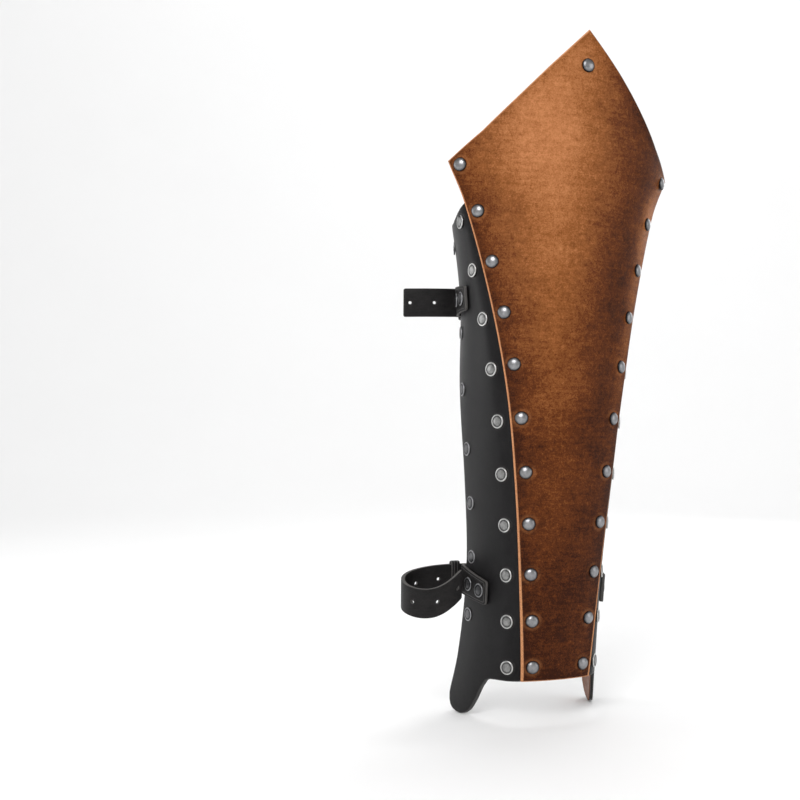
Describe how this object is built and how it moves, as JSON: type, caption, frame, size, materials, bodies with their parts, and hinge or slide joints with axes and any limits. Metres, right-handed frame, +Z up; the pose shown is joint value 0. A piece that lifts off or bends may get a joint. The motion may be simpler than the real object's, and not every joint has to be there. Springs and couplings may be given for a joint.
{
  "type": "leather greave",
  "caption": "Leather shin guard with a pointed knee plate over a black liner, riveted edges, ankle tabs and buckled straps across the open back.",
  "frame": {"origin": "on the leg's axis, level with the tips of the ankle tabs", "axes": "+Z up the leg to the knee peak, -Y to the shin, +X to the wearer's left"},
  "size_m": [0.1745, 0.1073, 0.45],
  "materials": {
    "brown_leather": "waxed, mottled, worn paler along the middle",
    "black_leather": "smooth, half gloss",
    "grained_leather": "pebbled grain, matt",
    "strap_leather": "smooth, worn pale at the bends and cut edges",
    "antique_silver": "antiqued, darker in the low places"
  },
  "bodies": {
    "root": {"front_plate": "brown_leather", "liner": "grained_leather", "lower_buckle_frame": "antique_silver", "lower_buckle_prong": "antique_silver", "lower_chape": "strap_leather", "lower_keeper": "strap_leather", "lower_strap": "strap_leather", "rivet_back_left_1": "antique_silver", "rivet_back_left_2": "antique_silver", "rivet_back_left_3": "antique_silver", "rivet_back_left_4": "antique_silver", "rivet_back_left_5": "antique_silver", "rivet_back_left_6": "antique_silver", "rivet_back_left_7": "antique_silver", "rivet_back_right_1": "antique_silver", "rivet_back_right_2": "antique_silver", "rivet_back_right_3": "antique_silver", "rivet_back_right_4": "antique_silver", "rivet_back_right_5": "antique_silver", "rivet_back_right_6": "antique_silver", "rivet_back_right_7": "antique_silver", "rivet_lower_chape_1": "antique_silver", "rivet_lower_chape_2": "antique_silver", "rivet_lower_strap_1": "antique_silver", "rivet_lower_strap_2": "antique_silver", "rivet_peak": "antique_silver", "rivet_plate_left_1": "antique_silver", "rivet_plate_left_10": "antique_silver", "rivet_plate_left_11": "antique_silver", "rivet_plate_left_2": "antique_silver", "rivet_plate_left_3": "antique_silver", "rivet_plate_left_4": "antique_silver", "rivet_plate_left_5": "antique_silver", "rivet_plate_left_6": "antique_silver", "rivet_plate_left_7": "antique_silver", "rivet_plate_left_8": "antique_silver", "rivet_plate_left_9": "antique_silver", "rivet_plate_right_1": "antique_silver", "rivet_plate_right_10": "antique_silver", "rivet_plate_right_11": "antique_silver", "rivet_plate_right_2": "antique_silver", "rivet_plate_right_3": "antique_silver", "rivet_plate_right_4": "antique_silver", "rivet_plate_right_5": "antique_silver", "rivet_plate_right_6": "antique_silver", "rivet_plate_right_7": "antique_silver", "rivet_plate_right_8": "antique_silver", "rivet_plate_right_9": "antique_silver", "rivet_upper_chape_1": "antique_silver", "rivet_upper_chape_2": "antique_silver", "rivet_upper_strap_1": "antique_silver", "rivet_upper_strap_2": "antique_silver", "side_panel_left": "black_leather", "side_panel_right": "black_leather", "upper_buckle_frame": "antique_silver", "upper_buckle_prong": "antique_silver", "upper_chape": "strap_leather", "upper_keeper": "strap_leather", "upper_strap": "strap_leather"}
  },
  "joints": []
}
